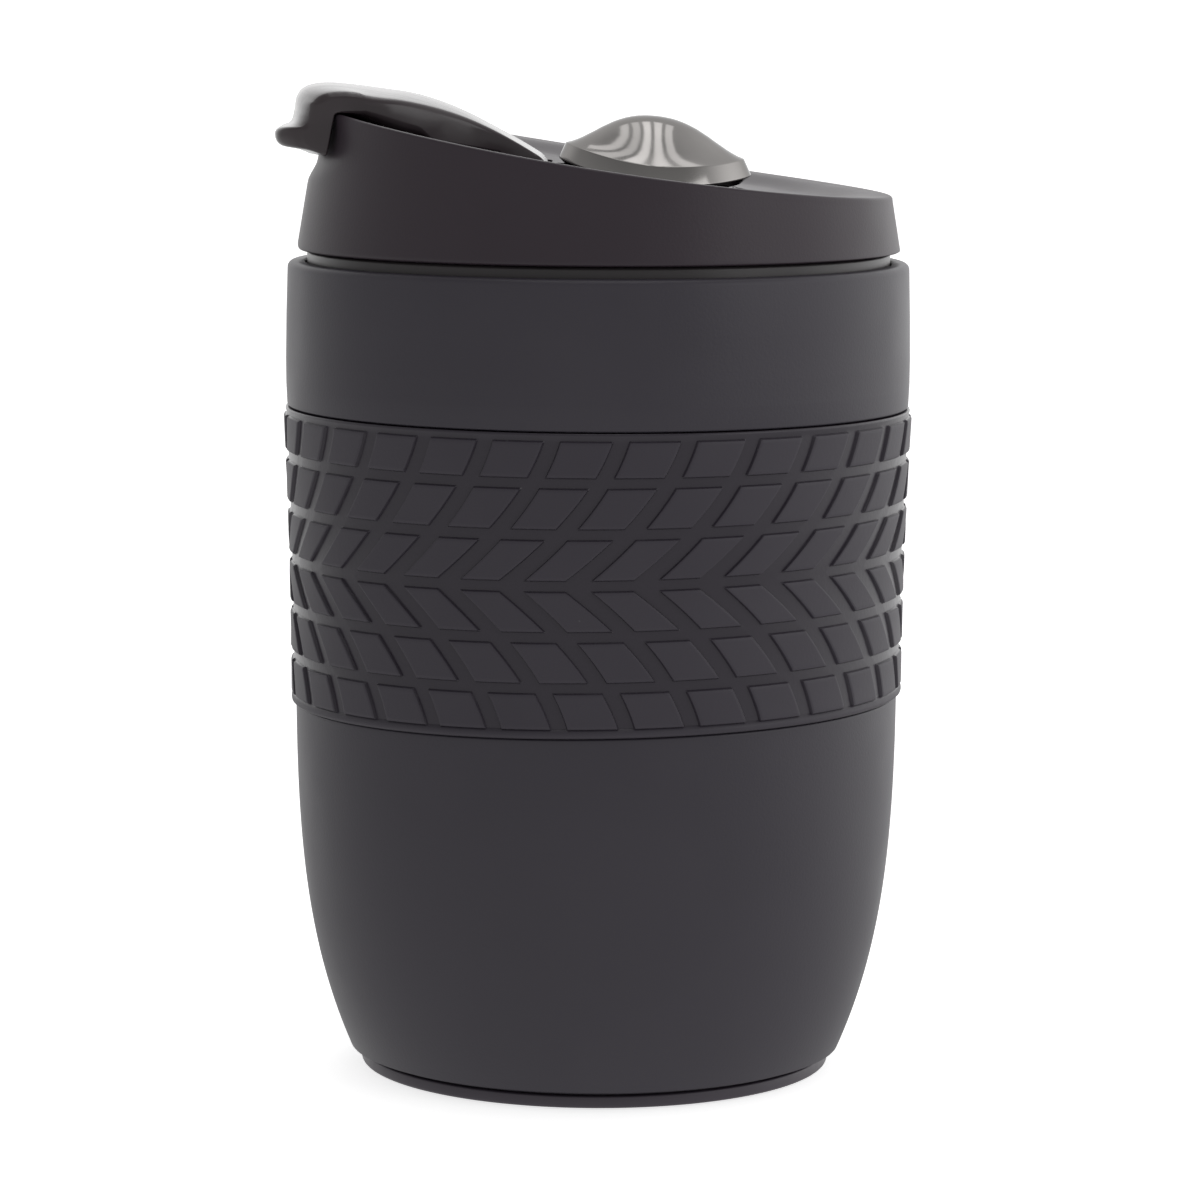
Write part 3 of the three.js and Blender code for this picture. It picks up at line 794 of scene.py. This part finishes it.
def lid_blank():
    """The lid's shell before its openings are cut: drawn flat-topped, then sloped."""
    floor = RIM_Z - DISH
    plate_low = floor - PLATE
    shoulder = 119.5
    dish = [(r, floor) for r in (0, 8, 16, 22, 26, 29)]
    rise = DISH - 0.12
    for share in [k / 12 for k in range(13)]:
        dish.append((mix(DISH_FROM, DISH_TO, share), floor + rise * smoothstep(0, 1, share)))
    rim = [(39.2, RIM_Z - 0.01), (39.75, RIM_Z)]
    rim += arc(lid_radius(RIM_Z) - 0.8 * RIM_FILLET, RIM_Z - RIM_FILLET, RIM_FILLET, 80, 8, 5)
    heights = [mix(RIM_Z - 0.8, LID_BOTTOM + 1.0, k / 30) for k in range(31)]
    corners = dish + rim + [(lid_radius(z), z) for z in heights] + [
        (lid_radius(LID_BOTTOM), LID_BOTTOM, 0.7),
        (41.3, LID_BOTTOM, 0.25),
        (lid_radius(shoulder) - 1.2, shoulder, 2.0),
        (lid_radius(plate_low) - 1.5, plate_low, 1.2),
    ]
    corners += [(r, plate_low) for r in (30, 22, 14, 7, 0)]
    return revolve("lid_top", rounded(corners), sides=320, warp=lambda p: scoop(slope_lid(p)))


def add_mounts(lid):
    """Adds the boss round the button's well and the block that holds the hinge pin."""
    boss_r = 15.6
    boss_low = WELL_FLOOR - 1.5
    boss_top = 125.2

    def boss_warp(p):
        return Vector((p.x, p.y, p.z + (slope_rise(p.x + BUTTON_X) if p.z > WELL_FLOOR else 0)))

    boss = [(0, boss_low), (boss_r, boss_low, 0.8), (boss_r, boss_top), (0, boss_top)]
    combine(lid, "UNION", [
        revolve("boss", rounded(boss), sides=128, centre=(BUTTON_X, 0), warp=boss_warp),
        block("hinge_block", HINGE_X - 5, HINGE_X + 5.2, -12.4, 12.4, HINGE_Z - 5.3, HINGE_Z + 0.9),
    ])


def column(name, radius, bottom, top, sides=128, warp=None):
    """A round solid on the button's axis."""
    outline = [(0, bottom), (radius, bottom), (radius, top), (0, top)]
    return revolve(name, outline, sides=sides, centre=(BUTTON_X, 0), warp=warp)


def build_lid():
    lid = lid_blank()
    add_mounts(lid)
    seat_low = CAP_LIP - CAP_SAG - BUTTON_TRAVEL + GAP

    def seat_warp(p):
        return Vector((p.x, p.y, p.z + (CAP_SLOPE * p.x if p.z < RIM_Z else 0)))

    above = 135  # well clear of the lid's top
    reach = BARREL_R + GAP
    tight = BARREL_HALF + GAP
    combine(lid, "DIFFERENCE", [
        column("seat", CAP_R + GAP, seat_low, above, warp=seat_warp),
        column("well", WELL_R, WELL_FLOOR, 130),
        column("stem_hole", 2.4, 110, 125, sides=48),
        prism("slot", stadium(12, 7), -6, 6, on_dish(SLOT_X)),
        on_hinge("trough", reach, tight),
        block("trough_mouth", HINGE_X - reach, HINGE_X + reach, -tight, tight, HINGE_Z, above),
        on_hinge("pin_hole", PIN_BORE, 10.9, 32),
    ])
    ease_edges(lid, 0.22)
    dress(lid, "lid", ["lid_shell"], LID_PAINT)


def build_plug():
    """The ring that goes into the cup, with a groove for the seal and a flange up to the sloping plate."""
    foot = 107.0
    flange = 119.4
    top = RIM_Z - DISH - PLATE - GAP
    outline = [
        (35.0, foot, 0.3), (36.9, foot, 0.3), (37.4, foot + 0.6, 0.3), (37.4, 109.6, 0.1), (36.5, 109.6),
        (36.5, 112.8), (37.4, 112.8, 0.1), (37.4, 118.5), (40.3, 118.5, 0.2), (40.3, flange, 0.2),
        (35.8, flange), (35.8, top), (34.2, top), (34.2, 118.5), (35.0, 117.7),
    ]

    def slope_top(p):
        return slope_lid(p, flange, top, taper=False)

    plug = revolve("plug_ring", rounded(outline, closed=True), closed=True, warp=slope_top)
    dress(plug, "lid", ["lid_plug"], LID_PAINT)


def build_lid_seal():
    """A silicone ring with two wiping lips."""
    foot = low("lid_seal")[2]
    lip = high("lid_seal")[0]
    body = 37.7
    bore = 36.8
    outline = [
        (bore, foot), (body, foot, 0.1), (lip, foot + 0.5, 0.15), (body, foot + 1.3, 0.3),
        (lip, foot + 2.1, 0.15), (body, foot + 2.6, 0.1), (bore, foot + 2.6),
    ]
    seal = revolve("mouth_seal", rounded(outline, closed=True), closed=True)
    dress(seal, "lid", ["lid_seal"], SILICONE)


def build_hinge_pin():
    half = high("hinge_pin")[1]
    pin = on_hinge("lever_pin", 1.2, half, 48)
    ease_edges(pin, 0.2, segments=2)
    dress(pin, "lid", ["hinge_pin"], POLISHED_STEEL)


# ---------------------------------------------------------------- lever

TOP, WALL_FACE, TAB, UNDER = range(4)  # which face of the lever an outline point is on
HOOK_LOW = 129.7  # lower end of the hook that goes down over the rim
HOOK_WALL_X = -42.8
TAB_X = -44.8
TAB_CORNER = 5.0
CROWN = 1.0  # how much lower the lever's top is at its sides
UNDER_FROM = -40.5  # between here and UNDER_TO its underside follows the lid's top
UNDER_TO = -22.7
UNDER_CLEAR = 0.4
BEND_R = lid_radius(132) + 1.5  # the hook bends round the lid at this radius


def lever_outline():
    """The lever's side view as (x, z, face): from the hinge over the top to the tab and back."""
    top = [(HINGE_X + 1.5, HINGE_Z + 2.95)]
    top += bezier(top[-1], (-15.5, 133.9), (-21.5, 137.7), (-29.5, 138.45), 20)
    top += bezier(top[-1], (-32.5, 138.85), (-35.2, 139.2), (-37.6, 139.35), 6)
    over = bezier(top[-1], (-40.9, 139.45), (-42.4, 138.7), (-42.6, 136.6), 9)
    wall = bezier(over[-1], (-42.7, 135.9), (-42.7, 135.6), (HOOK_WALL_X, 135.3), 4)
    tab = bezier(wall[-1], (HOOK_WALL_X - 0.1, 134.4), (-43.2, 133.75), (-44.0, 133.6), 8)
    tab += bezier(tab[-1], (-44.55, 133.5), (TAB_X, 133.15), (TAB_X, 132.5), 5)
    tab += bezier(tab[-1], (TAB_X, 131.6), (-44.5, 130.9), (-43.9, 130.75), 5)
    inner_x = -lid_radius(HOOK_LOW) - GAP
    under = bezier(tab[-1], (-42.6, 130.4), (-41.6, 130.0), (inner_x - 0.4, HOOK_LOW), 6)
    wall_low = (inner_x, HOOK_LOW + 0.4)
    under += bezier(under[-1], (inner_x - 0.1, HOOK_LOW), (inner_x, HOOK_LOW), wall_low, 3)
    corner_x = -lid_radius(OVER_RIM) - GAP
    under += straight(wall_low, (corner_x, OVER_RIM - 0.6), 6)
    over_rim = (corner_x + 0.8, OVER_RIM + 0.15)
    under += bezier(under[-1], (corner_x, OVER_RIM - 0.1), (corner_x + 0.2, OVER_RIM + 0.1), over_rim, 4)
    under += straight(over_rim, (-32.5, OVER_RIM + 0.15), 6)
    under += bezier(under[-1], (-31.0, OVER_RIM + 0.1), (-28.4, 134.4), (-25.2, 133.5), 6)
    low_x = -22.6
    low_z = floor_z(low_x) + 0.5
    under += bezier(under[-1], (-24.2, 133.2), (-23.6, low_z + 0.2), (low_x, low_z), 5)
    under += [(x, floor_z(x) + 0.5) for x, z in straight((low_x, low_z), (-13.9, low_z), 6)]
    barrel = arc(HINGE_X, HINGE_Z, BARREL_R, 155, 420, 30)
    faces = ((top, TOP), (over, TOP), (wall, WALL_FACE), (tab, TAB), (under, UNDER), (barrel, UNDER))
    return [(x, z, face) for points, face in faces for x, z in points]


def inset(outline, amounts):
    """Moves each point of a closed outline inwards by its own amount."""
    count = len(outline)
    area = sum(a[0] * b[1] - b[0] * a[1] for a, b in zip(outline[-1:] + outline, outline))
    sense = 1 if area > 0 else -1
    moved = []
    for i, (x, z, face) in enumerate(outline):
        before = Vector((x - outline[i - 1][0], z - outline[i - 1][1])).normalized()
        after = Vector((outline[(i + 1) % count][0] - x, outline[(i + 1) % count][1] - z)).normalized()
        along = (before + after).normalized()
        inward = Vector((-along.y, along.x)) * sense
        moved.append((x + inward.x * amounts[i], z + inward.y * amounts[i], face))
    return moved


def lever_half_width(x):
    """Half the lever's width: a wide hook that narrows to the hinge."""
    return mix(LEVER_HALF, BARREL_HALF, smoothstep(-33, -13, x))


def edge_radius(x, face):
    """How round the lever's long edges are: full on top, crisp below and at the tab."""
    if face == TOP:
        return mix(1.1, 0.5, smoothstep(-20, -10, x))
    return {WALL_FACE: 0.8, TAB: 0.55, UNDER: 0.35}[face]


def lever_stations():
    """Sections across the lever as (side, turn): over its flat part, then round its edge by an angle."""
    across = 24
    turns = 6
    flat = [(k / across * 2 - 1, 0.0) for k in range(across + 1)]
    edge = [(1.0, math.pi / 2 * k / turns) for k in range(1, turns + 1)]
    return [(-side, turn) for side, turn in reversed(edge)] + flat + edge


def lever_point(x, z, face, half, radius, side, turn):
    """Where a point of the side view comes on one section across the lever."""
    y = side * (half - radius) + math.copysign(radius * math.sin(turn), side)
    share = abs(y) / half
    # The hook bends round the lid, and the tab's own corners are rounder still.
    bend = BEND_R - math.sqrt(BEND_R ** 2 - y ** 2)
    past = max(abs(y) - (LEVER_HALF - TAB_CORNER), 0.0)
    corner = TAB_CORNER - math.sqrt(max(TAB_CORNER ** 2 - past ** 2, 0.0))
    tab_from = HOOK_WALL_X + 0.4
    tab = min(max((tab_from - x) / (tab_from - TAB_X), 0.0), 1.0)
    placed_x = x + smoothstep(-31, -37, x) * mix(bend, min(corner, bend + 0.6), tab)
    if face == TOP:
        fade = smoothstep(-9, -26, x)
        if x < -38:
            fade *= smoothstep(136.5, 138.2, z)
        z -= CROWN * share ** 2 * fade
    elif face == UNDER and UNDER_FROM < x < UNDER_TO and (x > -38 or z > OVER_RIM - 2.2):
        # Inside its side edges the underside lies close over the lid's top, so no light shows through.
        z = mix(lid_top(placed_x, y) + UNDER_CLEAR, z, share ** 12)
    return placed_x, y, z


def lever_sides(outline, last):
    """Triangles that close the lever's two side faces. They follow its changing width closely."""
    inside_only = 1
    side_view = [Vector(point[:2]) for point in outline]
    flat = delaunay_2d_cdt(side_view, [], [list(range(len(outline)))], inside_only, 0.0001)
    faces = []
    for triangle in flat[2]:
        corners = [flat[3][corner][0] for corner in triangle]
        faces.append(corners)
        faces.append([last + corner for corner in reversed(corners)])
    return faces


def build_lever():
    outline = lever_outline()
    radii = [edge_radius(x, face) for x, z, face in outline]
    halves = [lever_half_width(x) for x, z, face in outline]
    stations = lever_stations()
    points = []
    for side, turn in stations:
        amounts = [radius * (1 - math.cos(turn)) for radius in radii]
        for (x, z, face), half, radius in zip(inset(outline, amounts), halves, radii):
            points.append(lever_point(x, z, face, half, radius, side, turn))
    faces = tube_faces(len(stations), len(outline))
    faces += lever_sides(outline, (len(stations) - 1) * len(outline))
    lever = make_object("lever_arm", points, faces)
    combine(lever, "DIFFERENCE", [
        on_hinge("pin_bore", PIN_BORE, 12, 32),
        prism("stopper_pocket", stadium(15.6, 9.2), -3, 2.2, on_dish(SLOT_X)),
    ])
    finish_mesh(lever)
    dress(lever, "lever", ["flip_lever"], LEVER_SATIN)


def build_stopper():
    head = prism("stopper", stadium(15, 8.6, 20), 0.35, 1.9, on_dish(SLOT_X))
    combine(head, "UNION", [prism("nose", stadium(10.6, 5.6, 20), -2.2, 0.85, on_dish(SLOT_X))])
    ease_edges(head, 0.35)
    dress(head, "lever", ["spout_stopper"], SILICONE)


# ---------------------------------------------------------------- button

# The dome's bell-shaped crown: radius and drop below its top.
DOME = ((0, 0), (1.2, 0.04), (2.5, 0.2), (3.4, 0.41), (4.2, 0.65), (5.0, 0.96), (5.9, 1.35), (6.7, 1.8),
        (7.6, 2.3), (8.4, 2.82), (9.3, 3.35), (10.1, 3.83), (10.9, 4.25), (11.7, 4.6))
DOME_R = 12.5  # the crown ends here in a crease, and a low skirt goes on down and out
DOME_DROP = 4.85
SKIRT_Z = 127.9
SKIRT_BORE = 11.7


def build_button_cap():
    crown = high("button_cap")[2]
    seat = high("button_plunger")[2] + GAP
    corners = [(r, crown - drop) for r, drop in DOME]
    corners += [
        (DOME_R, crown - DOME_DROP, 0.25), (CAP_R, SKIRT_Z, 0.3), (SKIRT_BORE, CAP_LIP, 0.25),
        (SKIRT_BORE, seat), (9.8, seat), (7.6, 130.3), (4.2, 132.2), (0, 133.0),
    ]

    def lean(p):
        """Slopes the cap with the lid and lets its edge dip. Its level seat on the plunger stays."""
        if abs(p.z - seat) < 0.01:
            return p
        edge = smoothstep(5, DOME_R, math.hypot(p.x, p.y))
        return Vector((p.x, p.y, p.z + CAP_SLOPE * p.x - CAP_SAG * edge * (p.y / CAP_R) ** 2))

    cap = revolve("dome_cap", rounded(corners, steps=6), centre=(BUTTON_X, 0), warp=lean)
    dress(cap, "button", ["button_cap"], DOME_METAL)


def button_ring(name, outline, sides):
    """A ring on the button's axis."""
    return revolve(name, rounded(outline, closed=True), closed=True, sides=sides, centre=(BUTTON_X, 0))


def build_plunger():
    top = high("button_plunger")[2]
    foot = low("button_plunger")[2]
    radius = high("button_plunger")[1]
    bore = 2.1
    skirt_bore = radius - 1.2
    plate_low = top - 1.6
    plunger = button_ring("plunger_cup", [
        (bore, top), (radius, top, 0.3), (radius, foot, 0.25), (skirt_bore, foot, 0.25),
        (skirt_bore, plate_low, 0.4), (bore, plate_low),
    ], SIDES)
    dress(plunger, "button", ["button_plunger"], POLISHED_STEEL)


def build_stem():
    """The rod under the button, with a head, and a clip in a groove near its foot."""
    foot = low("button_stem")[2]
    top = high("button_stem")[2]
    clip_low = low("stem_clip")[2]
    clip_high = high("stem_clip")[2]
    rod = 1.8
    groove = 1.3
    head = 3.4
    outline = [
        (0, foot), (rod, foot, 0.5), (rod, clip_low - 0.2), (groove, clip_low - 0.2),
        (groove, clip_high + 0.2), (rod, clip_high + 0.2), (rod, top - 1.0), (head, top - 1.0, 0.1),
        (head, top, 0.4), (0, top),
    ]
    stem = revolve("vent_stem", rounded(outline), sides=64, centre=(BUTTON_X, 0))
    dress(stem, "button", ["button_stem"], POLISHED_STEEL)
    clip = button_ring("stem_ring", [
        (1.6, clip_high, 0.1), (3.6, clip_high, 0.2), (3.6, clip_low, 0.2), (1.6, clip_low, 0.1),
    ], 64)
    dress(clip, "button", ["stem_clip"], POLISHED_STEEL)


def build_vent_seal():
    top = high("vent_seal")[2]
    foot = low("vent_seal")[2]
    seal = button_ring("vent_washer", [
        (2.1, top), (4.8, top, 0.2), (5.6, top - 0.4, 0.2), (4.8, foot, 0.3), (2.1, foot, 0.1),
    ], 96)
    dress(seal, "button", ["vent_seal"], SILICONE)


def build_spring():
    """A coil that rides on the lid."""
    wire_r = 0.45
    coil_r = 6.2
    turns = 4
    around = 14
    steps = turns * 40
    foot = low("button_spring")[2]
    top = high("button_spring")[2]
    points = []
    for k in range(steps + 1):
        angle = 2 * math.pi * turns * k / steps
        out = Vector((math.cos(angle), math.sin(angle), 0))
        centre = out * coil_r + Vector((BUTTON_X, 0, mix(foot + wire_r, top - wire_r, k / steps)))
        for j in range(around):
            turn = 2 * math.pi * j / around
            up = Vector((0, 0, wire_r * math.sin(turn)))
            points.append(tuple(centre + out * wire_r * math.cos(turn) + up))
    faces = tube_faces(steps + 1, around)
    faces += [list(range(around)), [steps * around + j for j in range(around)]]
    spring = make_object("return_spring", points, faces)
    dress(spring, "lid", ["button_spring"], SPRING_STEEL)
    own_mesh(spring)


# ---------------------------------------------------------------- studio

WORLD_DIM = 0.60
WORLD_BRIGHT = 1.75
WORLD_BELOW = 0.85  # light thrown back by the floor
WORLD_TOP_SHARE = 0.55  # how bright it stays straight up
BRIGHT_SIDE = (0.50, 0.866, 0.0)  # the white backdrop wraps round behind the mug and to its right
FLOOR_GREY = 0.86
FLOOR_GLOW = 0.72
STRIP_POWERS = (0.42, 0.36, 0.62, 0.56, 0.40)
STRIP_SPACING = 0.125
STRIP_SIZE = (0.085, 1.5)
CAMERA_PLACE = (0.469, -681.0, 154.6)
CAMERA_PITCH = math.radians(7.384)
CAMERA_ROLL = math.radians(0.316)
CAMERA_LENS = 144.86


def build_floor():
    """A plain pale floor that fills the view. It adds no light: the world has what it throws back."""
    bpy.ops.mesh.primitive_circle_add(vertices=96, radius=30.0, fill_type="NGON", location=(0, 0, 0))
    floor = bpy.context.object
    floor.name = "studio_floor"
    shader = Shader("pale_floor", Roughness=0.9, Specular_IOR_Level=0.1, Emission_Strength=FLOOR_GLOW)
    shader.bsdf.inputs["Base Color"].default_value = (FLOOR_GREY, FLOOR_GREY, FLOOR_GREY, 1)
    shader.bsdf.inputs["Emission Color"].default_value = (1, 1, 1, 1)
    floor.data.materials.append(shader.material)
    floor.visible_glossy = False
    floor.visible_diffuse = False


def build_world():
    """A white room, dimmer on the camera's side and overhead, with an evenly lit floor below."""
    world = bpy.data.worlds.new("studio")
    world.use_nodes = True
    tree = world.node_tree
    nodes = tree.nodes
    link = tree.links.new
    nodes.clear()
    direction = nodes.new("ShaderNodeTexCoord").outputs["Generated"]
    facing = nodes.new("ShaderNodeVectorMath")
    facing.operation = "DOT_PRODUCT"
    facing.inputs[1].default_value = BRIGHT_SIDE
    link(direction, facing.inputs[0])
    split = nodes.new("ShaderNodeSeparateXYZ")
    link(direction, split.inputs["Vector"])
    height = split.outputs["Z"]
    around = smooth_range(tree, facing.outputs["Value"], -0.2, 0.75, WORLD_DIM, WORLD_BRIGHT)
    overhead = smooth_range(tree, height, 0.25, 0.85, 1.0, WORLD_TOP_SHARE)
    below = smooth_range(tree, height, 0.0, -0.35, 0.0, 1.0)
    room = nodes.new("ShaderNodeMath")
    room.operation = "MULTIPLY"
    link(around, room.inputs[0])
    link(overhead, room.inputs[1])
    strength = nodes.new("ShaderNodeMix")
    link(below, strength.inputs["Factor"])
    link(room.outputs["Value"], strength.inputs["A"])
    strength.inputs["B"].default_value = WORLD_BELOW
    light = nodes.new("ShaderNodeBackground")
    link(strength.outputs["Result"], light.inputs["Strength"])
    link(light.outputs["Background"], nodes.new("ShaderNodeOutputWorld").inputs["Surface"])
    bpy.context.scene.world = world


def area_light(name, place, aim, size, power):
    data = bpy.data.lights.new(name, "AREA")
    data.shape = "RECTANGLE"
    data.size, data.size_y = size
    data.energy = power
    lamp = bpy.data.objects.new(name, data)
    lamp.location = place
    lamp.rotation_euler = (Vector(aim) - Vector(place)).to_track_quat("-Z", "Y").to_euler()
    bpy.context.scene.collection.objects.link(lamp)


def build_lights():
    """A row of soft strips hung over the set, and a little fill from the right."""
    for k, power in enumerate(STRIP_POWERS):
        across = (k - (len(STRIP_POWERS) - 1) / 2) * STRIP_SPACING
        area_light(f"strip_{k}", (across, 0.15, 1.0), (across, 0.1, 0), STRIP_SIZE, power)
    area_light("right_fill", place=(0.9, -0.6, 0.45), aim=(0, 0, 0.08), size=(0.5, 0.7), power=1.2)


def build_camera():
    """The camera, level with the lid's top and looking slightly down."""
    data = bpy.data.cameras.new("camera")
    data.sensor_width = 36.0
    data.lens = CAMERA_LENS
    data.clip_start = 0.05
    data.clip_end = 200
    camera = bpy.data.objects.new("camera", data)
    aim = Matrix.Rotation(math.pi / 2 - CAMERA_PITCH, 4, "X") @ Matrix.Rotation(CAMERA_ROLL, 4, "Z")
    camera.matrix_world = Matrix.Translation(Vector(CAMERA_PLACE) * MM) @ aim
    bpy.context.scene.collection.objects.link(camera)
    bpy.context.scene.camera = camera
    bpy.context.scene.view_settings.view_transform = "Standard"


build_shell()
build_base()
build_liner()
build_neck_ring()
build_sleeve()
build_lid()
build_plug()
build_lid_seal()
build_hinge_pin()
build_lever()
build_stopper()
build_button_cap()
build_plunger()
build_stem()
build_vent_seal()
build_spring()
build_floor()
build_world()
build_lights()
build_camera()
